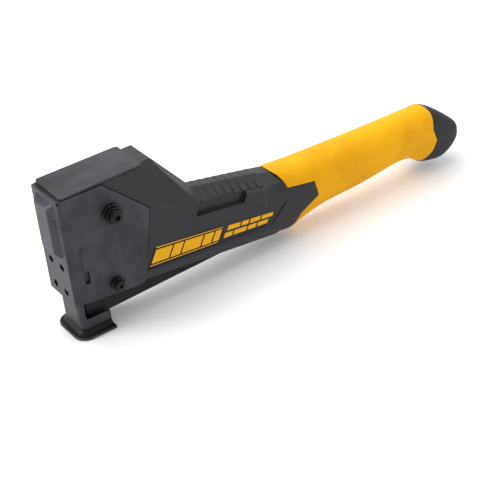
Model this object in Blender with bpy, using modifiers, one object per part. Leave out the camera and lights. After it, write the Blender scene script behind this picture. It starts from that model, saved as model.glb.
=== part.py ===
"""Hammer tacker: composite head and handle, folded steel shroud, swinging magazine with a flanged foot.

Drawing datum: X runs back from the outer face of the front plate, Z runs up from the striking face
of the cap, Y = 0 is the middle of the tool. Drawing sizes are in millimetres. DATUM moves the drawing
so that the middle of the front bar of the flat foot is the origin of the finished part.
"""
import math

import bmesh
import bpy
from mathutils import Matrix, Vector

MM = 0.001
GAP = 0.3

# ---- driving dimensions -----------------------------------------------------------------------
HEAD_HALF = 17.2            # outside of the shroud's wings
SHEET = 1.5                 # shroud sheet
FOOT_Z = -114.6             # underside of the foot
FOOT_BAR_X = 1.4            # middle of the front bar of the foot
DATUM = Vector((-FOOT_BAR_X, 0.0, -FOOT_Z)) * MM

CAP_FRONT, CAP_REAR = 3.0, 66.0
CAP_HALF = 16.9
CAP_THICK = 1.5
SHROUD_TOP = -2.3
SHROUD_FRONT_FOOT = -84.6   # lower end of the front plate

BODY_HALF = 16.6            # composite flank
HEAD_CORE_HALF = HEAD_HALF - SHEET - GAP
BODY_OUTLINE = (
    (1.8, -4.1), (3.0, -4.1), (3.0, -1.8), (66.4, -1.8), (66.4, -1.0), (74.5, -1.0), (76.8, -3.4),
    (108.5, -41.4),
    (138.5, -47.9), (168.5, -54.0), (172.5, -55.2), (175.9, -58.2), (178.5, -62.4), (181.0, -68.8),
    (204.8, -73.0), (207.6, -85.4), (191.2, -94.2), (187.5, -100.0), (186.5, -108.0),
    (166.0, -104.5), (130.0, -100.2), (58.4, -91.8), (56.0, -89.4), (29.0, -86.4),
    (29.0, -78.0), (11.6, -78.0), (11.6, -57.5), (1.8, -57.5),
)

PIVOT_X, PIVOT_Z = 155.0, -94.0
MAGAZINE_TILT = math.radians(1.6)
PIN_RADIUS = 3.0

CHANNEL_HALF = 8.5
CHANNEL_SHEET = 1.2
CHANNEL_FRONT = -144.0      # all lengths below are from the pivot, along the magazine
CHANNEL_FLOOR = -7.0
CHANNEL_TOP = 13.0
RAIL_HALF = 4.4
RAIL_TOP = 3.4
CROWN_TOP = 4.3
LEG_TIP = -5.7
STAPLE_HALF = 5.3
WIRE = 0.7
STAPLE_PITCH = 1.27
STAPLE_COUNT = 48
STRIP_FRONT = -144.4
STRIP_REAR = STRIP_FRONT + STAPLE_COUNT * STAPLE_PITCH
PUSHER_LENGTH = 11.0
SPRING_AXIS_Z = 8.6
PUSHER_SPRING_REAR = -21.0

SKIRT_HALF = 13.5
SKIRT_FRONT = 3.6
SKIRT_REAR = 26.5
SKIRT_WALL = 1.5
SKIRT_TOP = -101.4
FLANGE_OUT = 5.0
FLANGE_THICK = 2.4
FLANGE_FILLET = 4.2
NOSE_RIVET_X = 18.0

BLADE_FRONT, BLADE_BACK = 8.9, 10.1
BLADE_HALF = 5.2
BLADE_TIP = -92.9
BLADE_TOP = -28.0

# Handle stations: distance back, half width, top, bottom, squareness of the section
HANDLE_STATIONS = (
    (150.0, 16.6, -50.4, -104.0, 5.0),
    (170.0, 16.5, -54.7, -108.0, 3.0),
    (183.0, 16.45, -56.2, -108.6, 2.9),
    (191.0, 16.4, -57.0, -106.8, 2.8),
    (205.0, 16.2, -57.8, -103.2, 2.7),
    (222.0, 15.8, -58.4, -101.2, 2.6),
    (255.0, 15.6, -59.5, -100.2, 2.5),
    (285.0, 15.2, -60.4, -96.8, 2.5),
    (302.0, 15.2, -60.6, -98.2, 2.5),
    (313.0, 15.4, -60.7, -105.4, 2.5),
    (322.0, 15.5, -60.9, -108.2, 2.6),
    (333.0, 15.0, -67.0, -109.2, 2.8),
    (341.0, 14.4, -73.4, -105.0, 3.0),
    (345.6, 13.6, -77.4, -100.0, 3.2),
    (348.0, 12.6, -79.9, -96.4, 3.2),
    (348.9, 11.0, -81.6, -93.6, 3.2),
)
TANG_STATIONS = (
    (176.0, 10.5, -60.0, -100.0, 4.0),
    (215.0, 10.0, -66.0, -95.0, 4.0),
    (300.0, 9.5, -67.5, -92.5, 4.0),
    (322.0, 9.0, -76.0, -98.0, 4.0),
)
GRIP_END = (
    (300.0, -40.0), (322.0, -58.0), (323.5, -64.5), (321.5, -76.5), (324.9, -86.6),
    (320.8, -94.6), (312.2, -102.8), (307.5, -125.0), (300.0, -125.0),
)

SECTION_POINTS = 36


# ---- scene helpers ----------------------------------------------------------------------------
def clear_scene():
    for obj in list(bpy.data.objects):
        bpy.data.objects.remove(obj, do_unlink=True)


def new_collection(name):
    group = bpy.data.collections.new(name)
    bpy.context.scene.collection.children.link(group)
    return group


def make_material(name, colour, metallic, roughness):
    material = bpy.data.materials.new(name)
    material.use_nodes = True
    shader = material.node_tree.nodes["Principled BSDF"]
    shader.inputs["Base Color"].default_value = (*colour, 1.0)
    shader.inputs["Metallic"].default_value = metallic
    shader.inputs["Roughness"].default_value = roughness
    material.diffuse_color = (*colour, 1.0)
    return material


clear_scene()
PARTS = new_collection("hammer_tacker")
CUTTERS = new_collection("cutters")


def make_frame(name, location, tilt=0.0):
    frame = bpy.data.objects.new(name, None)
    frame.location = location
    frame.rotation_euler = (0.0, tilt, 0.0)
    CUTTERS.objects.link(frame)
    return frame


PIVOT = Vector((PIVOT_X, 0.0, PIVOT_Z)) * MM
TOOL = make_frame("tool_frame", DATUM)
MAGAZINE = make_frame("magazine_frame", DATUM + PIVOT, -MAGAZINE_TILT)


def add_object(name, mesh, frame, material=None):
    """Link a mesh as a part when it has a material, otherwise as a cutter."""
    obj = bpy.data.objects.new(name, mesh)
    obj.parent = frame
    if material is None:
        CUTTERS.objects.link(obj)
        obj.hide_render = True
        obj.display_type = "WIRE"
    else:
        PARTS.objects.link(obj)
        mesh.materials.append(material)
    return obj


def mesh_from(name, build):
    mesh = bpy.data.meshes.new(name)
    work = bmesh.new()
    build(work)
    bmesh.ops.recalc_face_normals(work, faces=work.faces)
    work.to_mesh(mesh)
    work.free()
    return mesh


def box(name, frame, x, y, z, material=None):
    size = Vector((x[1] - x[0], y[1] - y[0], z[1] - z[0])) * MM
    centre = Vector((x[1] + x[0], y[1] + y[0], z[1] + z[0])) * (MM / 2)
    place = Matrix.Translation(centre) @ Matrix.Diagonal((*size, 1.0))

    def build(work):
        bmesh.ops.create_cube(work, size=1.0, matrix=place)

    return add_object(name, mesh_from(name, build), frame, material)


AXIS_TURN = {
    "X": Matrix.Rotation(math.radians(90), 4, "Y"),
    "Y": Matrix.Rotation(math.radians(90), 4, "X"),
    "Z": Matrix.Identity(4),
}


def rods(name, frame, axis, pieces, material=None, segments=32):
    """Cylinders along one axis; each piece is (centre, radius, length)."""

    def build(work):
        for centre, radius, length in pieces:
            place = Matrix.Translation(Vector(centre) * MM) @ AXIS_TURN[axis]
            bmesh.ops.create_cone(work, cap_ends=True, segments=segments, radius1=radius * MM,
                                  radius2=radius * MM, depth=length * MM, matrix=place)

    return add_object(name, mesh_from(name, build), frame, material)


PLANE_TURN = {
    "XY": Matrix.Identity(4),
    "XZ": Matrix(((1, 0, 0, 0), (0, 0, -1, 0), (0, 1, 0, 0), (0, 0, 0, 1))),
    "YZ": Matrix(((0, 0, 1, 0), (1, 0, 0, 0), (0, 1, 0, 0), (0, 0, 0, 1))),
}
PLANE_NORMAL = {"XY": Vector((0, 0, 1)), "XZ": Vector((0, 1, 0)), "YZ": Vector((1, 0, 0))}


def prism(name, frame, plane, outline, spans, material=None, holes=()):
    """Extrude a flat outline through each span across its plane."""
    work = bmesh.new()
    for low, high in spans:
        curve = bpy.data.curves.new(name, "CURVE")
        curve.dimensions = "2D"
        curve.fill_mode = "BOTH"
        curve.extrude = (high - low) / 2 * MM
        for loop in (outline, *holes):
            spline = curve.splines.new("POLY")
            spline.points.add(len(loop) - 1)
            for point, (a, b) in zip(spline.points, loop):
                point.co = (a * MM, b * MM, 0.0, 1.0)
            spline.use_cyclic_u = True
        flat = bpy.data.objects.new(name, curve)
        bpy.context.scene.collection.objects.link(flat)
        bpy.context.view_layer.update()
        solid = bpy.data.meshes.new_from_object(flat)
        shift = PLANE_NORMAL[plane] * ((high + low) / 2 * MM)
        solid.transform(Matrix.Translation(shift) @ PLANE_TURN[plane])
        work.from_mesh(solid)
        bpy.data.meshes.remove(solid)
        bpy.data.objects.remove(flat)
    bmesh.ops.remove_doubles(work, verts=work.verts, dist=1e-7)
    bmesh.ops.recalc_face_normals(work, faces=work.faces)
    mesh = bpy.data.meshes.new(name)
    work.to_mesh(mesh)
    work.free()
    return add_object(name, mesh, frame, material)


def hulls(name, frame, groups, material=None):
    """Convex solids, each given by its corner points."""
    work = bmesh.new()
    for corners in groups:
        verts = [work.verts.new(Vector(corner) * MM) for corner in corners]
        result = bmesh.ops.convex_hull(work, input=verts)
        spare = [item for item in result["geom_interior"] if isinstance(item, bmesh.types.BMVert)]
        bmesh.ops.delete(work, geom=spare, context="VERTS")
    bmesh.ops.recalc_face_normals(work, faces=work.faces)
    mesh = bpy.data.meshes.new(name)
    work.to_mesh(mesh)
    work.free()
    return add_object(name, mesh, frame, material)


def mirrored(groups):
    """Each corner group and its copy on the other side of the tool."""
    return [*groups, *[[(x, -y, z) for x, y, z in group] for group in groups]]


def edge_chamfer(name, ends):
    """Wedges on both upper side edges; each end is (x, z, inset from the flank, drop at the flank)."""
    group = []
    for x, z, inset, drop in ends:
        group += [(x, BODY_HALF + 1.0, z + 6.0), (x, BODY_HALF + 1.0, z - drop - drop / inset),
                  (x, BODY_HALF - inset, z), (x, BODY_HALF - inset, z + 6.0)]
    return hulls(name, TOOL, mirrored([group]))


def section_loop(x, half_width, top, bottom, power):
    """One superellipse section across the handle."""
    middle = (top + bottom) / 2
    half_height = (top - bottom) / 2
    loop = []
    for step in range(SECTION_POINTS):
        turn = 2 * math.pi * step / SECTION_POINTS
        across = math.copysign(abs(math.cos(turn)) ** (2 / power), math.cos(turn))
        up = math.copysign(abs(math.sin(turn)) ** (2 / power), math.sin(turn))
        loop.append(Vector((x, half_width * across, middle + half_height * up)) * MM)
    return loop


def smooth_stations(stations, steps):
    """Catmull-Rom blend of the station list."""
    rows = []
    for index in range(len(stations) - 1):
        before = stations[max(index - 1, 0)]
        start, end = stations[index], stations[index + 1]
        after = stations[min(index + 2, len(stations) - 1)]
        for step in range(steps):
            t = step / steps
            row = []
            for a, b, c, d in zip(before, start, end, after):
                row.append(0.5 * (2 * b + (c - a) * t + (2 * a - 5 * b + 4 * c - d) * t * t
                                  + (3 * b - a - 3 * c + d) * t ** 3))
            rows.append(tuple(row))
    rows.append(stations[-1])
    return rows


def loft(name, frame, stations, material=None, grow=0.0, steps=3):
    """Skin the sections of a station list; grow makes every section larger."""
    loops = []
    for x, half_width, top, bottom, power in smooth_stations(stations, steps):
        loops.append(section_loop(x, half_width + grow, top + grow, bottom - grow, power))
    if grow:
        loops.insert(0, [point - Vector((10 * MM, 0.0, 0.0)) for point in loops[0]])
        for point in loops[-1]:
            point.x += grow * MM

    def build(work):
        rings = [[work.verts.new(point) for point in loop] for loop in loops]
        for ring, following in zip(rings, rings[1:]):
            for index in range(SECTION_POINTS):
                nxt = (index + 1) % SECTION_POINTS
                work.faces.new((ring[index], ring[nxt], following[nxt], following[index]))
        work.faces.new(rings[0])
        work.faces.new(rings[-1])

    return add_object(name, mesh_from(name, build), frame, material)


def boolean(obj, tool, operation):
    modifier = obj.modifiers.new(f"{operation}_{tool.name}", "BOOLEAN")
    modifier.operation = operation
    modifier.solver = "EXACT"
    modifier.object = tool
    return obj


def cut(obj, tool):
    return boolean(obj, tool, "DIFFERENCE")


def join(obj, tool):
    return boolean(obj, tool, "UNION")


def keep(obj, tool):
    return boolean(obj, tool, "INTERSECT")


def bevel(obj, width, segments=2, angle=40.0):
    modifier = obj.modifiers.new("bevel", "BEVEL")
    modifier.width = width * MM
    modifier.segments = segments
    modifier.limit_method = "ANGLE"
    modifier.angle_limit = math.radians(angle)
    return obj


def smooth(obj, angle=35.0):
    obj.data.shade_smooth()
    obj.data.set_sharp_from_angle(angle=math.radians(angle))
    return obj


def rounded(outline, radius, steps=5):
    """Replace each corner of a closed outline by an arc of the given radius."""
    result = []
    count = len(outline)
    for index, corner in enumerate(outline):
        here = Vector(corner)
        back = (Vector(outline[index - 1]) - here)
        ahead = (Vector(outline[(index + 1) % count]) - here)
        half_angle = back.angle(ahead) / 2
        reach = min(radius / math.tan(half_angle), back.length / 2.2, ahead.length / 2.2)
        arc_radius = reach * math.tan(half_angle)
        start = here + back.normalized() * reach
        end = here + ahead.normalized() * reach
        centre = here + (back.normalized() + ahead.normalized()).normalized() * (
            arc_radius / math.sin(half_angle))
        for step in range(steps + 1):
            point = start.lerp(end, step / steps)
            result.append(tuple(centre + (point - centre).normalized() * arc_radius))
    return result


def circle(centre, radius, points=24):
    return [(centre[0] + radius * math.cos(2 * math.pi * i / points),
             centre[1] + radius * math.sin(2 * math.pi * i / points)) for i in range(points)]


def coil(name, frame, axis, start, end, radius, wire, turns, per_turn, material):
    """Compression spring with closed end turns along X or Z."""
    curve = bpy.data.curves.new(name, "CURVE")
    curve.dimensions = "3D"
    curve.bevel_depth = wire * MM
    curve.bevel_resolution = 2
    curve.use_fill_caps = True
    start, end = Vector(start), Vector(end)
    total = int(turns * per_turn)
    spline = curve.splines.new("POLY")
    spline.points.add(total)
    closed = 1.2 / turns
    for index, point in enumerate(spline.points):
        share = index / total
        lift = min(max((share - closed) / (1 - 2 * closed), 0.0), 1.0)
        dead = 2.15 * wire * turns
        low = min(share, closed) * dead
        high = max(share - (1 - closed), 0.0) * dead
        length = (end - start).length
        travel = low + high + lift * (length - 2 * closed * dead)
        along = start + (end - start).normalized() * travel
        turn = 2 * math.pi * index / per_turn
        if axis == "X":
            along += Vector((0.0, math.cos(turn), math.sin(turn))) * radius
        else:
            along += Vector((math.cos(turn), math.sin(turn), 0.0)) * radius
        point.co = (*(along * MM), 1.0)
    obj = bpy.data.objects.new(name, curve)
    obj.parent = frame
    PARTS.objects.link(obj)
    curve.materials.append(material)
    return obj


# ---- materials --------------------------------------------------------------------------------
SHROUD_STEEL = make_material("black_satin_steel", (0.035, 0.036, 0.042), 0.75, 0.38)
CAP_STEEL = make_material("brushed_cap_steel", (0.16, 0.165, 0.18), 1.0, 0.36)
COMPOSITE = make_material("fibre_composite", (0.03, 0.034, 0.042), 0.0, 0.45)
YELLOW_RUBBER = make_material("yellow_grip_rubber", (0.95, 0.48, 0.02), 0.0, 0.55)
BLACK_RUBBER = make_material("black_butt_rubber", (0.012, 0.012, 0.013), 0.0, 0.6)
MAGAZINE_STEEL = make_material("magazine_steel", (0.03, 0.03, 0.033), 0.7, 0.5)
NOSE_STEEL = make_material("nose_steel", (0.04, 0.041, 0.046), 0.7, 0.4)
FASTENER_STEEL = make_material("black_fastener_steel", (0.02, 0.02, 0.022), 0.8, 0.35)
PLAIN_STEEL = make_material("hardened_steel", (0.45, 0.45, 0.47), 1.0, 0.3)
SPRING_STEEL = make_material("spring_steel", (0.5, 0.5, 0.52), 1.0, 0.28)
BUMPER_RUBBER = make_material("bumper_rubber", (0.02, 0.02, 0.02), 0.0, 0.8)
STAPLE_STEEL = make_material("zinc_staple_wire", (0.6, 0.6, 0.62), 1.0, 0.3)
PUSHER_PLASTIC = make_material("pusher_plastic", (0.05, 0.05, 0.05), 0.0, 0.5)


# ---- head and handle --------------------------------------------------------------------------
WING_OUTLINE = ((0.0, SHROUD_FRONT_FOOT), (0.0, SHROUD_TOP), (33.8, SHROUD_TOP), (66.6, -34.4),
                (56.8, -85.4), (54.4, -89.6), (50.6, -90.4))
UPPER_BOLT = (37.8, -26.0)
LOWER_SCREW = (33.4, -80.2)
BLADE_SCREW_Z = -40.0
STOP_PIN_LOCAL = (-60.0, 17.5)
RAIL_PIN = (-27.0, -1.5)
SPRING_X = 45.0
BUMPER_X = (62.0, 78.0)


def build_shroud():
    shroud = prism("head_shroud", TOOL, "XZ", WING_OUTLINE, [(-HEAD_HALF, HEAD_HALF)], SHROUD_STEEL)
    bevel(shroud, 0.35, angle=80.0)
    pad_base, pad_face, pad_raise = (12.6, -4.8, -49.0), (8.3, -8.8, -44.6), 4.0
    inner = SHEET

    def pad(name, grow, front, rear):
        half_b, top_b, low_b = pad_base
        half_f, top_f, low_f = pad_face
        corners = [(rear, side * (half_b - grow), z)
                   for side in (-1, 1) for z in (top_b - grow, low_b + grow)]
        corners += [(front, side * (half_f - grow), z)
                    for side in (-1, 1) for z in (top_f - grow, low_f + grow)]
        return hulls(name, TOOL, [corners])

    pad_solid = pad("shroud_pad", 0.0, -pad_raise, 0.4)
    bevel(pad_solid, 1.4, segments=3)
    join(shroud, pad_solid)
    cut(shroud, pad("shroud_pad_inside", 1.2, -pad_raise + inner, inner + 0.1))
    hollow = HEAD_HALF - SHEET
    lip = 2.7
    inside = ((SHEET, -100.0), (SHEET, SHROUD_TOP - SHEET), (lip, SHROUD_TOP - SHEET), (lip, 5.0),
              (80.0, 5.0), (80.0, -100.0))
    cut(shroud, prism("shroud_inside", TOOL, "XZ", inside, [(-hollow, hollow)]))
    holes = [((0.0, side * 7.3, z), 2.9, 12.0) for side in (-1, 1) for z in (-57.0, -77.0)]
    cut(shroud, rods("shroud_front_holes", TOOL, "X", holes, segments=32))
    side_holes = [((UPPER_BOLT[0], 0.0, UPPER_BOLT[1]), 3.3, 50.0),
                  ((LOWER_SCREW[0], 0.0, LOWER_SCREW[1]), 2.4, 50.0)]
    cut(shroud, rods("shroud_side_holes", TOOL, "Y", side_holes))
    rib_outline = rounded(((10.4, -61.0), (10.4, -43.0), (14.6, -43.0), (14.6, -61.0)), 1.6)
    rib_spans = [(-HEAD_HALF - 1.1, -HEAD_HALF + 0.5), (HEAD_HALF - 0.5, HEAD_HALF + 1.1)]
    rib = prism("shroud_ribs", TOOL, "XZ", rib_outline, rib_spans)
    bevel(rib, 0.6)
    join(shroud, rib)
    slot = rounded(((10.4, -71.0), (10.4, -61.6), (14.6, -61.6), (14.6, -71.0)), 1.4)
    cut(shroud, prism("shroud_rib_slots", TOOL, "XZ", slot, [(-30.0, 30.0)]))
    relief = [((1.0, side * HEAD_HALF, SHROUD_TOP), 1.1, 4.0) for side in (-1, 1)]
    cut(shroud, rods("shroud_corner_relief", TOOL, "Z", relief, segments=20))
    return shroud


def build_cap():
    outline = rounded(((CAP_FRONT, -CAP_HALF), (CAP_REAR, -CAP_HALF + 0.4),
                       (CAP_REAR, CAP_HALF - 0.4), (CAP_FRONT, CAP_HALF)), 2.4)
    cap = prism("strike_cap", TOOL, "XY", outline, [(-CAP_THICK, 0.0)], CAP_STEEL)
    return smooth(bevel(cap, 0.3))


def build_body():
    body = prism("composite_body", TOOL, "XZ", BODY_OUTLINE, [(-BODY_HALF, BODY_HALF)], COMPOSITE)
    wide = ((-10.0, 30.0, 10.0, -125.0, 8.0), (140.0, 30.0, 10.0, -125.0, 8.0),
            (157.0, 17.3, -46.0, -112.0, 6.0)) + HANDLE_STATIONS[1:7]
    keep(body, loft("body_envelope", TOOL, wide, steps=3))
    join(body, loft("handle_tang", TOOL, TANG_STATIONS, steps=3))
    cut(body, edge_chamfer("neck_chamfers", ((105.4, -40.8, 12.4, 8.4), (178.0, -56.0, 12.0, 9.6))))
    cut(body, edge_chamfer("slope_chamfers", ((75.0, -1.2, 3.0, 2.4), (108.6, -41.2, 10.0, 10.6))))
    cut(body, edge_chamfer("hump_chamfers", ((64.0, -1.0, 4.4, 3.0), (80.0, -1.6, 4.4, 3.4))))
    pocket = rounded(((104.6, -48.6), (146.8, -55.3), (141.8, -63.6), (102.0, -57.4)), 0.6)
    cut(body, prism("grip_pockets", TOOL, "XZ", pocket, [(-20.0, -13.2), (13.2, 20.0)]))
    under = []
    for x, z in ((54.0, -84.0), (192.0, -98.4)):
        under += [(x, BODY_HALF + 2.0, z + 3.4), (x, BODY_HALF + 2.0, z - 30.0), (x, 8.0, z - 14.6)]
    cut(body, hulls("underside_chamfers", TOOL, mirrored([under])))
    panel = []
    for x, z, depth in ((58.0, -82.2, 1.0), (165.0, -92.0, 1.0), (58.0, -66.0, 0.1), (179.4, -78.4, 0.9)):
        panel += [(x, BODY_HALF - depth, z), (x, BODY_HALF + 1.0, z)]
    cut(body, hulls("label_panels", TOOL, mirrored([panel])))
    seat = ((-5.0, -100.0), (-5.0, 5.0), (34.4, 5.0), (34.4, SHROUD_TOP + 0.1), (67.2, -34.1),
            (57.3, -85.7), (55.0, -100.0))
    cut(body, prism("shroud_seat", TOOL, "XZ", seat, [(-20.0, -HEAD_CORE_HALF), (HEAD_CORE_HALF, 20.0)]))
    notches = [((67.2, side * 16.0, -1.0), 1.1, 5.0) for side in (-1, 1)]
    cut(body, rods("cap_rear_notches", TOOL, "Z", notches, segments=16))
    swept = ((0.0, -130.0), (0.0, -60.0), (30.0, -60.0), (166.0, -80.5), (166.0, -130.0))
    cut(body, prism("magazine_slot", TOOL, "XZ", swept, [(-9.8, 9.8)]))
    cut(body, rods("spring_pocket", TOOL, "Z", [((SPRING_X, 0.0, -60.0), 7.2, 16.0)]))
    cut(body, box("bumper_seat", TOOL, BUMPER_X, (-8.0, 8.0), (-75.0, -61.5)))
    blade_slot = box("blade_slot", TOOL, (BLADE_FRONT - GAP, BLADE_BACK + GAP),
                     (-BLADE_HALF - GAP, BLADE_HALF + GAP), (-70.0, BLADE_TOP + GAP))
    cut(body, blade_slot)
    cut(body, rods("blade_screw_bore", TOOL, "X", [((10.0, 0.0, BLADE_SCREW_Z), 2.3, 30.0)]))
    cut(body, box("ear_recess", TOOL, (84.0, 106.0), (-9.8, 9.8), (-80.0, -62.5)))
    bores = [((UPPER_BOLT[0], 0.0, UPPER_BOLT[1]), 3.3, 50.0),
             ((LOWER_SCREW[0], 13.0, LOWER_SCREW[1]), 2.3, 6.4),
             ((LOWER_SCREW[0], -13.0, LOWER_SCREW[1]), 2.3, 6.4),
             ((PIVOT_X, 5.0, PIVOT_Z), PIN_RADIUS + GAP, 34.0)]
    cut(body, rods("body_bores", TOOL, "Y", bores))
    stop_x = PIVOT_X + STOP_PIN_LOCAL[0]
    stop_slot = rounded(((stop_x - 3.4, -81.0), (stop_x - 3.4, -66.2), (stop_x + 5.4, -66.2),
                         (stop_x + 5.4, -81.0)), 2.8)
    cut(body, prism("stop_slots", TOOL, "XZ", stop_slot, [(-13.2, 13.2)]))
    return smooth(body)


def build_grip():
    grip = loft("rubber_grip", TOOL, HANDLE_STATIONS, YELLOW_RUBBER)
    front = ((120.0, -30.0), (168.9, -30.0), (168.9, -53.7), (172.7, -54.8), (176.2, -57.9), (178.9, -62.3),
             (181.3, -68.4), (205.1, -72.6), (208.0, -85.6), (191.5, -94.4), (187.9, -100.1),
             (187.9, -125.0), (120.0, -125.0))
    cut(grip, prism("grip_front_trim", TOOL, "XZ", front, [(-25.0, 25.0)]))
    rear = ((400.0, -40.0), *[(x - GAP / 2, z) for x, z in GRIP_END[:-1]], (400.0, -125.0))
    cut(grip, prism("grip_rear_trim", TOOL, "XZ", rear, [(-25.0, 25.0)]))
    cut(grip, loft("grip_bore", TOOL, TANG_STATIONS, grow=GAP, steps=3))
    return smooth(grip)


def build_butt():
    butt = loft("butt_cap", TOOL, HANDLE_STATIONS, BLACK_RUBBER)
    front = ((120.0, -40.0), *[(x + GAP / 2, z) for x, z in GRIP_END[:-1]], (120.0, -125.0))
    cut(butt, prism("butt_front_trim", TOOL, "XZ", front, [(-25.0, 25.0)]))
    cut(butt, loft("butt_bore", TOOL, TANG_STATIONS, grow=GAP, steps=3))
    return smooth(butt)


def turned(name, frame, origin, profile, material, side=1, segments=24):
    """Turn a (radius, along Y) profile, drawn from the head end to the tip, about the Y axis."""
    mesh = bpy.data.meshes.new(name)
    verts = [(radius * MM, side * along * MM, 0.0) for radius, along in profile]
    mesh.from_pydata(verts, [(i, i + 1) for i in range(len(verts) - 1)], [])
    obj = add_object(name, mesh, frame, material)
    obj.location = Vector(origin) * MM
    screw = obj.modifiers.new("turn", "SCREW")
    screw.axis = "Y"
    screw.steps = segments
    screw.render_steps = segments
    screw.use_merge_vertices = True
    screw.merge_threshold = 0.00001
    screw.use_normal_calculate = True
    return obj


def torx_recess(name, x, z, face_y, radius, depth, side):
    """Six-lobed driver recess that opens at face_y."""
    lobes = []
    for step in range(24):
        turn = 2 * math.pi * step / 24
        reach = radius * (0.86 + 0.14 * math.cos(6 * turn))
        lobes.append((x + reach * math.cos(turn), z + reach * math.sin(turn)))
    ends = sorted((face_y - side * depth, face_y + side * 1.0))
    return prism(name, TOOL, "XZ", lobes, [tuple(ends)])


def pan_head(radius, height, shaft, tip):
    """Profile of a pan-head screw: domed top at y = 0, shaft down to y = tip."""
    dome = []
    for step in range(5):
        turn = math.radians(90 * step / 4)
        dome.append((radius - height * 0.55 * (1 - math.sin(turn)), height * 0.55 * (1 - math.cos(turn))))
    return [(0.0, 0.0), *dome, (radius, height), (shaft, height), (shaft, tip - 0.6), (shaft - 0.6, tip),
            (0.0, tip)]


def washer(name, x, z, inner_y, radius, thick, bore, side):
    """Flat ring standing on the wing, its inner face at inner_y."""
    profile_ring = circle((x, z), radius, 28)
    ends = sorted((side * inner_y, side * (inner_y + thick)))
    ring = prism(name, TOOL, "XZ", profile_ring, [tuple(ends)], FASTENER_STEEL,
                 holes=(circle((x, z), bore, 20),))
    return smooth(ring)


def build_fasteners():
    """Through bolt with its stack near the top of the wings, and a screw low on each wing."""
    x, z = UPPER_BOLT
    stack = HEAD_HALF + 0.2
    washer("upper_washer_near", x, z, stack, 7.4, 1.8, 3.3, -1)
    washer("upper_spacer_near", x, z, stack + 2.0, 5.9, 2.0, 3.3, -1)
    washer("upper_washer_far", x, z, stack, 7.4, 1.8, 3.3, 1)
    head_y = -(stack + 2.0 + 2.0 + 0.2 + 3.6)
    bolt = turned("upper_bolt", TOOL, (x, head_y, z), pan_head(5.2, 3.6, 3.0, 2 * HEAD_HALF + 17.2),
                  FASTENER_STEEL)
    cut(bolt, torx_recess("upper_bolt_recess", x, z, head_y, 2.7, 2.2, -1))
    smooth(bolt)
    nut_low = stack + 2.0
    hexagon = [(x + 5.6 * math.cos(math.radians(60 * i)), z + 5.6 * math.sin(math.radians(60 * i)))
               for i in range(6)]
    nut = prism("upper_nut", TOOL, "XZ", hexagon, [(nut_low, nut_low + 5.0)], FASTENER_STEEL,
                holes=(circle((x, z), 3.3, 20),))
    bevel(nut, 0.4)
    x, z = LOWER_SCREW
    for label, side in (("near", -1), ("far", 1)):
        washer(f"lower_washer_{label}", x, z, stack, 5.0, 2.4, 2.3, side)
        top = stack + 2.4 + 0.2 + 3.2
        screw = turned(f"lower_screw_{label}", TOOL, (x, side * top, z),
                       pan_head(3.9, 3.2, 2.0, top - 10.4), FASTENER_STEEL, side=-side)
        cut(screw, torx_recess(f"lower_screw_recess_{label}", x, z, side * top, 2.0, 1.8, side))
        smooth(screw)


def build_blade():
    outline = rounded(((-BLADE_HALF, BLADE_TOP), (BLADE_HALF, BLADE_TOP), (BLADE_HALF, BLADE_TIP),
                       (-BLADE_HALF, BLADE_TIP)), 0.6)
    prism("driver_blade", TOOL, "YZ", outline, [(BLADE_FRONT, BLADE_BACK)], PLAIN_STEEL,
          holes=(circle((0.0, BLADE_SCREW_Z), 2.3),))
    screw = rods("blade_screw", TOOL, "X", [((12.4, 0.0, BLADE_SCREW_Z), 2.0, 23.0)], FASTENER_STEEL)
    head = rods("blade_screw_head", TOOL, "X", [((0.2, 0.0, BLADE_SCREW_Z), 3.7, 2.6)])
    join(screw, head)
    smooth(screw)


def build_head_inner():
    """Pivot pin with its plug, rubber stop and return spring."""
    pin = rods("pivot_pin", TOOL, "Y", [((PIVOT_X, 0.85, PIVOT_Z), PIN_RADIUS, 25.1)], PLAIN_STEEL)
    smooth(bevel(pin, 0.5))
    smooth(rods("pivot_plug", TOOL, "Y", [((PIVOT_X, 14.4, PIVOT_Z), PIN_RADIUS, 1.4)], BLACK_RUBBER))
    low, high = BUMPER_X[0] + GAP, BUMPER_X[1] - GAP
    bumper = ((low, -61.8), (high, -61.8), (high, -71.5), (low, -69.7))
    prism("stop_bumper", TOOL, "XZ", rounded(bumper, 1.0), [(-7.7, 7.7)], BUMPER_RUBBER)
    coil("return_spring", TOOL, "Z", (SPRING_X, 0.0, -81.3), (SPRING_X, 0.0, -53.1), 5.0, 0.8, 8, 14,
         SPRING_STEEL)


# ---- magazine, hung on the pivot --------------------------------------------------------------
def hang_on_pivot(obj):
    """Move the origin of a piece drawn in the tool frame onto the pivot axis."""
    obj.data.transform(Matrix.Translation(-PIVOT))
    obj.location = PIVOT
    return obj


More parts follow.
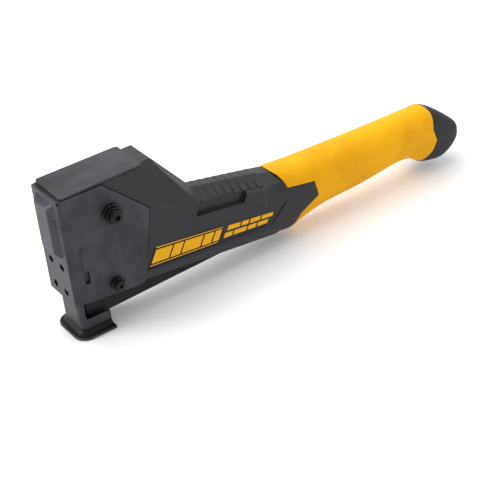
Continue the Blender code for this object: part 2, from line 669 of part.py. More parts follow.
def build_channel():
    inner = CHANNEL_HALF - CHANNEL_SHEET
    floor = CHANNEL_FLOOR + CHANNEL_SHEET
    top = 21.0
    section = ((-CHANNEL_HALF, top), (-CHANNEL_HALF, CHANNEL_FLOOR), (CHANNEL_HALF, CHANNEL_FLOOR),
               (CHANNEL_HALF, top), (inner, top), (inner, floor), (-inner, floor), (-inner, top))
    channel = prism("magazine_channel", MAGAZINE, "YZ", section, [(CHANNEL_FRONT, 7.0)], MAGAZINE_STEEL)
    bevel(channel, 0.4)
    ear_x = STOP_PIN_LOCAL[0]
    above = ((-150.0, CHANNEL_TOP), (ear_x - 9.0, CHANNEL_TOP), (ear_x - 5.5, top + 0.3),
             (ear_x + 5.5, top + 0.3), (ear_x + 9.0, CHANNEL_TOP), (-32.0, CHANNEL_TOP), (-12.0, 7.6),
             (12.0, 7.6), (12.0, 30.0), (-150.0, 30.0))
    cut(channel, prism("channel_top_trim", MAGAZINE, "XZ", above, [(-12.0, 12.0)]))
    holes = [((0.0, 0.0, 0.0), PIN_RADIUS + GAP, 30.0), ((ear_x, 0.0, STOP_PIN_LOCAL[1]), 2.8, 30.0),
             ((RAIL_PIN[0], 0.0, RAIL_PIN[1]), 1.8, 30.0)]
    cut(channel, rods("channel_bores", MAGAZINE, "Y", holes, segments=32))
    cut(channel, rods("channel_rivet_bore", TOOL, "Z", [((NOSE_RIVET_X, 0.0, -104.0), 1.8, 6.0)]))
    cut(channel, box("channel_floor_slot", MAGAZINE, (STRIP_REAR - 1.0, -28.0), (-3.4, 3.4), (-9.0, -5.0)))
    smooth(channel)


def build_rail():
    low = LEG_TIP + 0.3
    wall = 1.0
    inner = RAIL_HALF - wall
    section = ((-RAIL_HALF, low), (-inner, low), (-inner, RAIL_TOP - wall), (inner, RAIL_TOP - wall),
               (inner, low), (RAIL_HALF, low), (RAIL_HALF, RAIL_TOP), (-RAIL_HALF, RAIL_TOP))
    rail = prism("staple_rail", MAGAZINE, "YZ", section, [(STRIP_FRONT + GAP, -24.0)], PLAIN_STEEL)
    cut(rail, box("rail_tab_slot", MAGAZINE, (STRIP_REAR - 1.0, -30.0), (-1.8, 1.8), (0.0, 6.0)))
    cut(rail, rods("rail_pin_bore", MAGAZINE, "Y", [((RAIL_PIN[0], 0.0, RAIL_PIN[1]), 1.8, 30.0)],
                   segments=32))
    rods("rail_pin", MAGAZINE, "Y", [((RAIL_PIN[0], 0.0, RAIL_PIN[1]), 1.5, 18.6)], PLAIN_STEEL,
         segments=32)
    rods("travel_stop_pin", MAGAZINE, "Y", [((STOP_PIN_LOCAL[0], 0.0, STOP_PIN_LOCAL[1]), 2.5, 25.6)],
         PLAIN_STEEL, segments=40)


def build_staples():
    inner = STAPLE_HALF - WIRE
    under = CROWN_TOP - WIRE
    section = ((-STAPLE_HALF, LEG_TIP), (-inner, LEG_TIP), (-inner, under), (inner, under),
               (inner, LEG_TIP), (STAPLE_HALF, LEG_TIP), (STAPLE_HALF, CROWN_TOP),
               (-STAPLE_HALF, CROWN_TOP))
    prism("staple_strip", MAGAZINE, "YZ", section, [(STRIP_FRONT, STRIP_REAR)], STAPLE_STEEL)


def build_pusher():
    """Saddle over the rail, with a tab down through the rail to a finger pad in the channel floor."""
    front = STRIP_REAR + GAP
    rear = front + PUSHER_LENGTH
    half = STAPLE_HALF
    section = ((-half, 11.9), (-half, LEG_TIP + 0.3), (-half + 0.6, LEG_TIP + 0.3), (-half + 0.6, 3.8),
               (-1.4, 3.8), (-1.4, -4.2), (-2.9, -4.2), (-2.9, -6.8), (2.9, -6.8), (2.9, -4.2),
               (1.4, -4.2), (1.4, 3.8), (half - 0.6, 3.8), (half - 0.6, LEG_TIP + 0.3),
               (half, LEG_TIP + 0.3), (half, 11.9))
    pusher = prism("staple_pusher", MAGAZINE, "YZ", section, [(front, rear)], PUSHER_PLASTIC)
    cut(pusher, rods("pusher_bore", MAGAZINE, "X", [((front, 0.0, SPRING_AXIS_Z), 1.8, 40.0)], segments=32))
    rod_front, rod_rear = -140.0, -13.0
    rod = rods("pusher_rod", MAGAZINE, "X", [(((rod_front + rod_rear) / 2, 0.0, SPRING_AXIS_Z), 1.5,
                                              rod_rear - rod_front)], PLAIN_STEEL, segments=24)
    smooth(rod)
    anchor = box("spring_anchor", MAGAZINE, (PUSHER_SPRING_REAR, -15.0), (-7.0, 7.0), (4.6, 12.2),
                 PLAIN_STEEL)
    cut(anchor, rods("anchor_bore", MAGAZINE, "X", [((-18.0, 0.0, SPRING_AXIS_Z), 1.8, 40.0)], segments=32))
    coil("pusher_spring", MAGAZINE, "X", (rear + 0.65, 0.0, SPRING_AXIS_Z),
         (PUSHER_SPRING_REAR - 0.65, 0.0, SPRING_AXIS_Z), 2.7, 0.35, 20, 9,
         SPRING_STEEL)


def build_pivot_bush():
    bush = prism("pivot_bush", MAGAZINE, "XZ", circle((0.0, 0.0), 5.2, 40), [(-7.0, 7.0)], PLAIN_STEEL,
                 holes=(circle((0.0, 0.0), PIN_RADIUS + GAP, 40),))
    smooth(bush)
    seat_low = CHANNEL_TOP + GAP
    seat_x = SPRING_X - PIVOT_X
    seat = box("spring_seat", MAGAZINE, (seat_x - 8.0, seat_x + 8.0), (-8.5, 8.5),
               (seat_low, seat_low + 1.2), PLAIN_STEEL)
    join(seat, rods("spring_seat_spigot", MAGAZINE, "Z", [((seat_x, 0.0, seat_low + 2.0), 3.6, 3.0)]))
    smooth(seat)


def skirt_ring(out, height):
    """Plan outline of the skirt at one height, moved outward by out."""
    corner = 4.5
    ring = [(SKIRT_REAR + 0.15 * out, -SKIRT_HALF - out)]
    steps = 8
    for centre_y, first in ((-(SKIRT_HALF - corner), 270.0), (SKIRT_HALF - corner, 180.0)):
        for step in range(steps + 1):
            turn = math.radians(first - 90.0 * step / steps)
            ring.append((SKIRT_FRONT + corner + (corner + out) * math.cos(turn),
                         centre_y + (corner + out) * math.sin(turn)))
    ring.append((SKIRT_REAR + 0.15 * out, SKIRT_HALF + out))
    return [Vector((x, y, height)) * MM for x, y in ring]


def build_nose():
    """Skirt with a filleted flange round its foot, and the guide block riveted inside it."""
    flange_top = FOOT_Z + FLANGE_THICK
    levels = [(0.0, -83.6), (0.0, flange_top + FLANGE_FILLET)]
    for step in range(1, 7):
        turn = math.radians(90.0 * step / 6)
        levels.append((FLANGE_FILLET * (1 - math.cos(turn)),
                       flange_top + FLANGE_FILLET * (1 - math.sin(turn))))
    levels += [(FLANGE_OUT - 0.5, flange_top), (FLANGE_OUT, flange_top - 0.5), (FLANGE_OUT, FOOT_Z + 0.5),
               (FLANGE_OUT - 0.5, FOOT_Z)]

    def build(work):
        rings = [[work.verts.new(point) for point in skirt_ring(out, height)] for out, height in levels]
        count = len(rings[0])
        for ring, following in zip(rings, rings[1:]):
            for index in range(count):
                nxt = (index + 1) % count
                work.faces.new((ring[index], ring[nxt], following[nxt], following[index]))
        work.faces.new(rings[0])
        work.faces.new(rings[-1])

    skirt = add_object("nose_skirt", mesh_from("nose_skirt", build), TOOL, NOSE_STEEL)
    hollow = SKIRT_HALF - SKIRT_WALL
    inside = rounded(((SKIRT_FRONT + SKIRT_WALL, -hollow), (40.0, -hollow), (40.0, hollow),
                      (SKIRT_FRONT + SKIRT_WALL, hollow)), 2.5)
    cut(skirt, prism("skirt_inside", TOOL, "XY", inside, [(-130.0, -70.0)]))
    shoulder = ((7.8, -70.0), (7.8, SKIRT_TOP + 2.2), (8.4, SKIRT_TOP + 0.7), (9.8, SKIRT_TOP),
                (40.0, SKIRT_TOP), (40.0, -70.0))
    cut(skirt, prism("skirt_shoulder", TOOL, "XZ", shoulder, [(-25.0, 25.0)]))
    smooth(hang_on_pivot(skirt))
    guide_front, guide_rear, guide_half = SKIRT_FRONT + SKIRT_WALL + GAP, 24.0, hollow - GAP
    plan = rounded(((guide_front, -guide_half), (guide_rear, -guide_half), (guide_rear, guide_half),
                    (guide_front, guide_half)), 2.2)
    guide = prism("nose_guide", TOOL, "XY", plan, [(FOOT_Z + 0.4, -105.8)], PLAIN_STEEL)
    cut(guide, box("guide_throat", TOOL, (BLADE_FRONT - 0.3, BLADE_BACK + 2.0), (-5.8, 5.8),
                   (-130.0, -90.0)))
    cut(guide, rods("guide_rivet_bore", TOOL, "Z", [((NOSE_RIVET_X, 0.0, -110.0), 1.8, 12.0)]))
    hang_on_pivot(guide)
    shaft_low, head_top = FOOT_Z + 0.4, -102.2
    rivet = rods("nose_rivet", TOOL, "Z", [((NOSE_RIVET_X, 0.0, (shaft_low + head_top) / 2), 1.5,
                                            head_top - shaft_low)], NOSE_STEEL)
    join(rivet, rods("nose_rivet_head", TOOL, "Z", [((NOSE_RIVET_X, 0.0, head_top - 0.2), 2.6, 1.0)]))
    smooth(hang_on_pivot(rivet))


build_shroud()
build_cap()
build_body()
build_grip()
build_butt()
build_blade()
build_fasteners()
build_head_inner()
build_channel()
build_rail()
build_staples()
build_pusher()
build_pivot_bush()
build_nose()
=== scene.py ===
"""Looks of the hammer tacker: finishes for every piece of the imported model, plain label bars on the
handle, ribs on the neck, wires for the two springs, and a plain studio set.

Places on the side drawing are in millimetres; the scene is in metres."""
import math

import bmesh
import bpy
import numpy as np
from mathutils import Matrix, Vector


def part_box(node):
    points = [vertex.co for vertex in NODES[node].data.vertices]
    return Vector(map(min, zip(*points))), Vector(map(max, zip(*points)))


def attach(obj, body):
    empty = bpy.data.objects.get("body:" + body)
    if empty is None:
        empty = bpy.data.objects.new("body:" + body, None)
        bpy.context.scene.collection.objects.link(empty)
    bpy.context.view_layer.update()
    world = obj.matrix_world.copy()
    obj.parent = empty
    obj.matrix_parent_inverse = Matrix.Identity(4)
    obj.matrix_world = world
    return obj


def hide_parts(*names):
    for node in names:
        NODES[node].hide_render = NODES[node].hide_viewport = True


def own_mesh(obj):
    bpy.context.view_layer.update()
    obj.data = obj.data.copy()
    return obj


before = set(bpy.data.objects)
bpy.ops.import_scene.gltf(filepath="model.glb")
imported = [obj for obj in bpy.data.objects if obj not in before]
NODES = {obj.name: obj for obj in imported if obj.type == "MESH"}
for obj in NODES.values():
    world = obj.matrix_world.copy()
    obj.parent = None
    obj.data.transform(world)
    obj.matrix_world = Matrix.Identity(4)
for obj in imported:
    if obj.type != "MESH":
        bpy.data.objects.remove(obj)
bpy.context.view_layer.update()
HEAD = "head_and_handle"
MM = 0.001

PLATE_LEAD = 1.8            # the face of the front plate stands this far ahead of the moulding
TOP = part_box("strike_cap")[1].z
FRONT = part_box("composite_body")[0].x - PLATE_LEAD * MM


def place(x, z):
    """A point of the side drawing: behind the front plate, and above the striking face."""
    return FRONT + x * MM, TOP + z * MM


# ---- finishes: small helpers for node trees ----------------------------------------------------
def new_finish(name, colour, metallic, roughness):
    """A material with its node tree and its shader."""
    finish = bpy.data.materials.new(name)
    finish.use_nodes = True
    shader = finish.node_tree.nodes["Principled BSDF"]
    shader.inputs["Base Color"].default_value = (*colour, 1.0)
    shader.inputs["Metallic"].default_value = metallic
    shader.inputs["Roughness"].default_value = roughness
    finish.diffuse_color = (*colour, 1.0)
    return finish, finish.node_tree, shader


def put(tree, socket, value):
    """Link another node's socket, or set a plain value."""
    if isinstance(value, bpy.types.NodeSocket):
        tree.links.new(value, socket)
    else:
        socket.default_value = value


def coordinates(tree, stretch=(1.0, 1.0, 1.0)):
    """Object coordinates in metres, stretched along each axis."""
    source = tree.nodes.new("ShaderNodeTexCoord")
    mapping = tree.nodes.new("ShaderNodeMapping")
    mapping.inputs["Scale"].default_value = stretch
    tree.links.new(source.outputs["Object"], mapping.inputs["Vector"])
    return mapping.outputs["Vector"]


def noise(tree, where, scale, detail=3.0, roughness=0.55, distortion=0.0):
    texture = tree.nodes.new("ShaderNodeTexNoise")
    texture.inputs["Scale"].default_value = scale
    texture.inputs["Detail"].default_value = detail
    texture.inputs["Roughness"].default_value = roughness
    texture.inputs["Distortion"].default_value = distortion
    tree.links.new(where, texture.inputs["Vector"])
    return texture.outputs["Fac"]


def dimples(tree, where, scale):
    texture = tree.nodes.new("ShaderNodeTexVoronoi")
    texture.inputs["Scale"].default_value = scale
    tree.links.new(where, texture.inputs["Vector"])
    return texture.outputs["Distance"]


def sums(tree, operation, first, second=0.0, third=0.0, clamp=False):
    """One step of arithmetic; MULTIPLY_ADD is first * second + third."""
    made = tree.nodes.new("ShaderNodeMath")
    made.operation = operation
    made.use_clamp = clamp
    for socket, value in zip(made.inputs, (first, second, third)):
        put(tree, socket, value)
    return made.outputs[0]


def remap(tree, value, low, high, to_low, to_high):
    """Smooth step from to_low to to_high as the value goes from low to high."""
    made = tree.nodes.new("ShaderNodeMapRange")
    made.interpolation_type = "SMOOTHSTEP"
    for socket, number in zip(made.inputs, (value, low, high, to_low, to_high)):
        put(tree, socket, number)
    return made.outputs[0]


def shade(tree, factor, first, second):
    """Colour that goes from the first to the second with the factor."""
    mix = tree.nodes.new("ShaderNodeMix")
    mix.data_type = "RGBA"
    put(tree, mix.inputs["Factor"], factor)
    for socket, colour in ((mix.inputs[6], first), (mix.inputs[7], second)):
        put(tree, socket, colour if isinstance(colour, bpy.types.NodeSocket) else (*colour, 1.0))
    return mix.outputs[2]


def split(tree, where):
    made = tree.nodes.new("ShaderNodeSeparateXYZ")
    tree.links.new(where, made.inputs[0])
    return made.outputs


EDGE_SAMPLES = 6
EDGE_TURN = (0.02, 0.25)    # 1 - cosine of the turn: where the edge mask begins, where it is full


def rounded_edges(tree, radius):
    """Normals that run round every edge within the radius, and a mask bright on those edges."""
    soft = tree.nodes.new("ShaderNodeBevel")
    soft.samples = EDGE_SAMPLES
    soft.inputs["Radius"].default_value = radius
    flat = tree.nodes.new("ShaderNodeNewGeometry")
    dot = tree.nodes.new("ShaderNodeVectorMath")
    dot.operation = "DOT_PRODUCT"
    tree.links.new(soft.outputs["Normal"], dot.inputs[0])
    tree.links.new(flat.outputs["Normal"], dot.inputs[1])
    turn = sums(tree, "SUBTRACT", 1.0, dot.outputs["Value"])
    return soft.outputs["Normal"], remap(tree, turn, *EDGE_TURN, 0.0, 1.0)


def relief(tree, height, depth, under=None, strength=1.0):
    """Bump whose full height is the depth in metres, laid over another normal."""
    bump = tree.nodes.new("ShaderNodeBump")
    bump.inputs["Strength"].default_value = strength
    bump.inputs["Distance"].default_value = depth
    put(tree, bump.inputs["Height"], height)
    if under is not None:
        tree.links.new(under, bump.inputs["Normal"])
    return bump.outputs["Normal"]


# painted shade: how fully the flange hollow is darkened, and the share of the dark colour kept there
PAINTED_SHADE_COVER, PAINTED_SHADE_DARKNESS = 0.92, 0.1


def satin_black_steel(name, dark, light, edge_wear_and_highlight, roughness, metallic=0.5, painted_shade_band=None):
    """Blackened sheet steel: cloudy oil-dark tone, fine orange peel, edges lighter from wear and
    painted highlight. Painted shade darkens given heights (low, high, softness): a flange's hollow in
    shadow."""
    finish, tree, shader = new_finish(name, light, metallic, roughness)
    shader.inputs["Specular IOR Level"].default_value = 0.35
    where = coordinates(tree)
    clouds = noise(tree, where, 44.0, 5.0, 0.62, 0.4)
    specks = noise(tree, where, 900.0, 2.0, 0.6)
    normal, edge = rounded_edges(tree, 0.0006)
    tone = shade(tree, remap(tree, clouds, 0.34, 0.66, 0.0, 1.0), dark, light)
    if painted_shade_band:
        low, high, softness = painted_shade_band
        height = split(tree, where)[2]
        # painted shade: heights in the hollow sweep of a flange are darkened as if in shadow
        painted_shade_mask = sums(tree, "MULTIPLY", remap(tree, height, low - softness, low, 0.0, PAINTED_SHADE_COVER),
                      remap(tree, height, high, high + softness, 1.0, 0.0))
        tone = shade(tree, painted_shade_mask, tone, tuple(c * PAINTED_SHADE_DARKNESS for c in dark))
    # edges lighter: partly worn paint in patches, partly a painted highlight along the edges
    patches = remap(tree, noise(tree, where, 210.0), 0.35, 0.65, 0.25, 0.9)
    wear_and_highlight_mask = sums(tree, "MULTIPLY", edge, patches)
    put(tree, shader.inputs["Base Color"], shade(tree, wear_and_highlight_mask, tone, edge_wear_and_highlight))
    polish = sums(tree, "MULTIPLY_ADD", clouds, 0.24, roughness - 0.12)
    polish = sums(tree, "MULTIPLY_ADD", specks, 0.1, polish, clamp=True)
    put(tree, shader.inputs["Roughness"], polish)
    normal = relief(tree, noise(tree, where, 120.0, 2.0), 0.00012, normal, 0.5)
    put(tree, shader.inputs["Normal"], relief(tree, specks, 0.00002, normal, 0.7))
    return finish


def brushed_steel(name, dark, light, edge_wear_and_highlight, roughness, along, scale=900.0):
    """Ground steel: long fine scratches one way, some cloudiness, wear and painted highlight on the
    edges.
    """
    finish, tree, shader = new_finish(name, light, 0.9, roughness)
    stretched = coordinates(tree, tuple(1.0 / a for a in along))
    where = coordinates(tree)
    grain = noise(tree, stretched, scale, 4.0, 0.7)
    streaks = noise(tree, stretched, scale * 0.22, 3.0, 0.6)
    clouds = noise(tree, where, 45.0, 4.0, 0.6)
    normal, edge = rounded_edges(tree, 0.0005)
    mix = sums(tree, "MULTIPLY_ADD", streaks, 0.55, sums(tree, "MULTIPLY", clouds, 0.45))
    tone = shade(tree, remap(tree, mix, 0.36, 0.64, 0.0, 1.0), dark, light)
    # edges lighter: partly wear, partly a painted highlight along the edges
    wear_and_highlight_mask = sums(tree, "MULTIPLY", edge, 0.6)
    put(tree, shader.inputs["Base Color"], shade(tree, wear_and_highlight_mask, tone, edge_wear_and_highlight))
    polish = remap(tree, streaks, 0.25, 0.75, roughness - 0.09, roughness + 0.12)
    put(tree, shader.inputs["Roughness"], polish)
    put(tree, shader.inputs["Normal"], relief(tree, grain, 0.00003, normal, 0.6))
    return finish


def side_of_line(tree, axes, start, end, width):
    """0 to 1 across a straight line on the side drawing, over the width in metres."""
    (x0, z0), (x1, z1) = start, end
    length = math.hypot(x1 - x0, z1 - z0)
    across_x, across_z = (z1 - z0) / length, -(x1 - x0) / length
    reach = sums(tree, "MULTIPLY_ADD", axes[0], across_x, -(across_x * x0 + across_z * z0))
    reach = sums(tree, "MULTIPLY_ADD", axes[2], across_z, reach)
    return remap(tree, reach, -width / 2, width / 2, 0.0, 1.0)


def creased(tree, axes, normal, line, width, depth):
    """The normal with a soft step of the depth across a line on the side drawing."""
    start, end = line
    step = side_of_line(tree, axes, place(*start), place(*end), width)
    return relief(tree, step, depth, normal)


FLANK_CREASE = ((52.8, -5.2), (101.7, -57.1))
GRIP_CREASES = (((206.0, -66.4), (330.0, -69.4)), ((224.0, -94.0), (318.0, -88.0)))


def moulded_composite():
    """Fibre-filled moulding: near-black blue grey, fine spark texture, short fibre flecks, and one
    soft crease across the flank."""
    finish, tree, shader = new_finish("moulded_fibre_composite", (0.038, 0.038, 0.048), 0.0, 0.5)
    where = coordinates(tree)
    axes = split(tree, where)
    clouds = noise(tree, where, 26.0, 4.0, 0.6, 0.3)
    flecks = noise(tree, coordinates(tree, (0.35, 1.0, 1.0)), 1500.0, 2.0, 0.7)
    texture = noise(tree, where, 2200.0, 2.0, 0.6)
    normal, edge = rounded_edges(tree, 0.0008)
    tone = shade(tree, remap(tree, clouds, 0.3, 0.7, 0.0, 1.0),
                 (0.012, 0.0117, 0.0155), (0.019, 0.0185, 0.0245))
    tone = shade(tree, remap(tree, flecks, 0.62, 0.74, 0.0, 0.35), tone, (0.04, 0.04, 0.048))
    # edges lighter: partly wear, partly a painted highlight along the edges
    wear_and_highlight_mask = sums(tree, "MULTIPLY", edge, 0.4)
    put(tree, shader.inputs["Base Color"], shade(tree, wear_and_highlight_mask, tone, (0.06, 0.06, 0.07)))
    put(tree, shader.inputs["Roughness"], remap(tree, clouds, 0.25, 0.75, 0.4, 0.54))
    shader.inputs["Specular IOR Level"].default_value = 0.34
    normal = creased(tree, axes, normal, FLANK_CREASE, 0.003, 0.001)
    put(tree, shader.inputs["Normal"], relief(tree, texture, 0.000035, normal, 0.7))
    return finish


def soft_rubber(name, dark, light, dust, roughness, sheen=0.4, creases=()):
    """Moulded rubber: matt, fine leathery pebble, a little lighter dust in scattered patches. Each
    crease is a line on the side drawing (start, end) where the flank steps in very slightly."""
    finish, tree, shader = new_finish(name, light, 0.0, roughness)
    where = coordinates(tree)
    clouds = noise(tree, where, 30.0, 4.0, 0.6, 0.3)
    pebble = dimples(tree, where, 1500.0)
    scuffs = noise(tree, coordinates(tree, (0.3, 1.0, 1.0)), 260.0, 4.0, 0.65, 0.6)
    normal = rounded_edges(tree, 0.0007)[0]
    tone = shade(tree, remap(tree, clouds, 0.3, 0.72, 0.0, 1.0), dark, light)
    dusty = remap(tree, scuffs, 0.6, 0.78, 0.0, 0.3)
    put(tree, shader.inputs["Base Color"], shade(tree, dusty, tone, dust))
    polish = remap(tree, scuffs, 0.25, 0.75, roughness - 0.06, roughness + 0.08)
    put(tree, shader.inputs["Roughness"], polish)
    shader.inputs["Specular IOR Level"].default_value = sheen
    axes = split(tree, where)
    for line in creases:
        normal = creased(tree, axes, normal, line, 0.0035, 0.0009)
    normal = relief(tree, noise(tree, where, 170.0, 2.0), 0.0002, normal, 0.35)
    put(tree, shader.inputs["Normal"], relief(tree, pebble, 0.00005, normal, 0.55))
    return finish


def printed_label(name, colour, roughness):
    """Flat ink or film: faint speckle and slightly uneven gloss."""
    finish, tree, shader = new_finish(name, colour, 0.0, roughness)
    shader.inputs["Specular IOR Level"].default_value = 0.2
    where = coordinates(tree)
    speck = noise(tree, where, 1400.0, 3.0, 0.6)
    put(tree, shader.inputs["Base Color"],
        shade(tree, remap(tree, speck, 0.35, 0.7, 0.0, 1.0), tuple(c * 0.9 for c in colour), colour))
    polish = remap(tree, speck, 0.2, 0.8, roughness - 0.06, roughness + 0.08)
    put(tree, shader.inputs["Roughness"], polish)
    put(tree, shader.inputs["Normal"], relief(tree, speck, 0.00002, None, 0.5))
    return finish


SHROUD = satin_black_steel("satin_black_shroud_steel", (0.03, 0.029, 0.037),
                           (0.056, 0.054, 0.067), (0.15, 0.15, 0.165), 0.42)
# heights (low, high, softness) of the painted shade on the nose, where the flange hollow lies in
# shadow
NOSE_PAINTED_SHADE_BAND = (2.4 * MM, 6.2 * MM, 1.0 * MM)
NOSE_STEEL_WITH_PAINTED_SHADE = satin_black_steel("satin_black_nose_steel_painted_shade", (0.031, 0.031, 0.037), (0.05, 0.05, 0.058),
                         (0.17, 0.17, 0.185), 0.4, 0.5, NOSE_PAINTED_SHADE_BAND)
MAGAZINE = satin_black_steel("black_magazine_steel", (0.012, 0.012, 0.014), (0.022, 0.022, 0.024),
                             (0.08, 0.08, 0.09), 0.5)
FASTENER = satin_black_steel("black_oxide_fastener_steel", (0.014, 0.014, 0.015),
                             (0.026, 0.026, 0.028), (0.16, 0.16, 0.17), 0.3, 0.7)
CAP = brushed_steel("brushed_dark_cap_steel", (0.032, 0.032, 0.037), (0.066, 0.066, 0.075),
                    (0.24, 0.24, 0.26), 0.4, (12.0, 1.0, 1.0))
GROUND = brushed_steel("ground_tool_steel", (0.3, 0.3, 0.32), (0.42, 0.42, 0.44),
                       (0.6, 0.6, 0.62), 0.3, (1.0, 1.0, 7.0))
SPRING = brushed_steel("oiled_spring_wire", (0.28, 0.28, 0.31), (0.42, 0.42, 0.45),
                       (0.55, 0.55, 0.57), 0.3, (1.0, 1.0, 1.0), 1400.0)
STAPLE = brushed_steel("zinc_staple_wire", (0.42, 0.42, 0.45), (0.6, 0.6, 0.63),
                       (0.75, 0.75, 0.77), 0.28, (0.4, 2.0, 2.0), 1800.0)
COMPOSITE = moulded_composite()
YELLOW = soft_rubber("yellow_grip_rubber", (0.75, 0.345, 0.0), (0.86, 0.42, 0.0),
                     (0.72, 0.38, 0.015), 0.58, 0.16, GRIP_CREASES)
BUTT = soft_rubber("black_butt_rubber", (0.014, 0.014, 0.0165), (0.021, 0.021, 0.0245),
                   (0.045, 0.045, 0.05), 0.5, 0.26)
BUMPER = soft_rubber("black_bumper_rubber", (0.01, 0.01, 0.011), (0.016, 0.016, 0.017),
                     (0.04, 0.04, 0.04), 0.75)
PUSHER = soft_rubber("black_pusher_plastic", (0.015, 0.015, 0.016), (0.024, 0.024, 0.026),
                     (0.05, 0.05, 0.05), 0.45)
LABEL_FIELD = printed_label("black_label_film", (0.011, 0.011, 0.013), 0.42)
LABEL_BAR = printed_label("yellow_label_ink", (0.88, 0.43, 0.0), 0.5)

FINISH_OF = {
    "head_shroud": SHROUD, "strike_cap": CAP, "composite_body": COMPOSITE, "rubber_grip": YELLOW,
    "butt_cap": BUTT, "driver_blade": GROUND, "blade_screw": FASTENER, "upper_bolt": FASTENER,
    "upper_washer_near": FASTENER, "upper_spacer_near": FASTENER, "upper_washer_far": FASTENER,
    "upper_nut": FASTENER, "lower_screw_near": FASTENER, "lower_screw_far": FASTENER,
    "lower_washer_near": FASTENER, "lower_washer_far": FASTENER, "pivot_pin": GROUND,
    "pivot_plug": BUTT, "stop_bumper": BUMPER, "return_spring": SPRING,
    "magazine_channel": MAGAZINE, "staple_rail": GROUND, "rail_pin": GROUND,
    "travel_stop_pin": GROUND, "staple_strip": STAPLE, "pusher_rod": GROUND,
    "spring_anchor": MAGAZINE, "pusher_spring": SPRING, "pivot_bush": GROUND,
    "spring_seat": MAGAZINE, "nose_skirt": NOSE_STEEL_WITH_PAINTED_SHADE, "nose_guide": GROUND, "nose_rivet": NOSE_STEEL_WITH_PAINTED_SHADE,
    "staple_pusher": PUSHER,
}
for node_name, cad_object in NODES.items():
    materials = cad_object.data.materials
    if not materials:
        materials.append(FINISH_OF[node_name])
    for index in range(len(materials)):
        materials[index] = FINISH_OF[node_name]


# ---- meshes of the added pieces ------------------------------------------------------------------
def finished_piece(name, points, faces, finish):
    """Link a closed mesh with all its faces outward. The caller says which body it rides on."""
    mesh = bpy.data.meshes.new(name)
    mesh.from_pydata(points.tolist(), [], faces)
    work = bmesh.new()
    work.from_mesh(mesh)
    bmesh.ops.recalc_face_normals(work, faces=work.faces)
    work.to_mesh(mesh)
    work.free()
    mesh.materials.append(finish)
    obj = bpy.data.objects.new(name, mesh)
    bpy.context.scene.collection.objects.link(obj)
    return obj


def grid_faces(index):
    """Quads of a grid of point numbers, and the numbers round its rim."""
    corners = (index[:-1, :-1], index[1:, :-1], index[1:, 1:], index[:-1, 1:])
    quads = np.stack(corners, axis=-1).reshape(-1, 4)
    rim = np.concatenate((index[:, 0], index[-1, 1:], index[-2::-1, -1], index[0, -2:0:-1]))
    return quads, rim


# ---- label bars --------------------------------------------------------------------------------
PANEL_CORNERS = np.array(((58.0, -82.2, 15.6), (165.0, -92.0, 15.6), (58.0, -66.0, 16.5),
                          (179.4, -78.4, 15.7)))
RIM_DROP, RIM_WIDTH = 0.05, 0.02    # the outermost points of a bar's face lie this much lower
BAR_ROOT = 0.4                      # depth of its walls under the recess floor

LABEL_FRONT, LABEL_LOW = 58.0, -81.9        # front end of the label, and its lower edge there
LABEL_HEIGHT, LABEL_SHRINK = 16.8, 0.062    # height there, and what it loses per millimetre
LABEL_FALL, LABEL_LEAN = 0.0916, 0.5

FIELD_SPAN, FIELD_SHARES, FIELD_THICK = (58.6, 118.4), (0.02, 0.98), 0.1
BAR_START, BAR_GAP, BAR_SHARES, BAR_THICK = 60.6, 1.3, (0.2, 0.78), 0.2
BAR_LENGTHS = (14.0, 8.0, 15.5, 8.0, 5.5)
RULE_SPAN, RULE_LOWS, RULE_HEIGHT = (60.0, 116.8), (0.08, 0.86), 0.045
DASH_GAP, DASH_HEIGHT, DASH_THICK = 1.4, 0.27, 0.15
DASH_ROWS = ((121.0, 0.2, (7.0, 11.0, 7.0, 9.0)), (122.0, 0.6, (11.0, 6.0, 9.0, 10.0)))


def panel_floor(x, z):
    """Height of the label recess off the middle of the tool, in millimetres: its floor is two flat
    triangles that share a fold, and each point takes the higher of the two planes."""
    heights = []
    for other in (1, 2):
        rows = PANEL_CORNERS[[0, other, 3]]
        plane = np.linalg.solve(np.column_stack((rows[:, :2], np.ones(3))), rows[:, 2])
        heights.append(plane[0] * x + plane[1] * z + plane[2])
    return np.maximum(*heights)


def bar(name, corners, side, thick, finish, cells=(24, 8)):
    """A thin slab laid on the label recess. Its face is a bilinear grid between four corners on the
    side drawing, lifted off the recess floor by its thickness, with its outermost points slightly
    lower; a wall runs from the rim down into the recess and a flat back closes it."""
    across, up = np.meshgrid(np.linspace(0.0, 1.0, cells[0]), np.linspace(0.0, 1.0, cells[1]),
                             indexing="ij")
    low_left, low_right, high_right, high_left = (np.array(corner) for corner in corners)
    flat = ((1 - across) * (1 - up))[..., None] * low_left \
        + (across * (1 - up))[..., None] * low_right \
        + (across * up)[..., None] * high_right + ((1 - across) * up)[..., None] * high_left
    rim = np.minimum(np.minimum(across, 1 - across) * np.linalg.norm(low_right - low_left),
                     np.minimum(up, 1 - up) * np.linalg.norm(high_left - low_left))
    height = panel_floor(flat[..., 0], flat[..., 1]) + thick - RIM_DROP * (rim < RIM_WIDTH)
    face = np.stack((FRONT + flat[..., 0] * MM, side * height * MM, TOP + flat[..., 1] * MM),
                    axis=-1)
    quads, loop = grid_faces(np.arange(cells[0] * cells[1]).reshape(cells))
    points = face.reshape(-1, 3)
    back = points[loop] - np.array((0.0, side * (thick + BAR_ROOT) * MM, 0.0))
    under = len(points) + np.arange(len(loop))
    walls = np.column_stack((loop, np.roll(loop, -1), np.roll(under, -1), under))
    obj = finished_piece(name, np.concatenate((points, back)),
                         quads.tolist() + walls.tolist() + [under[::-1].tolist()], finish)
    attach(obj, HEAD)


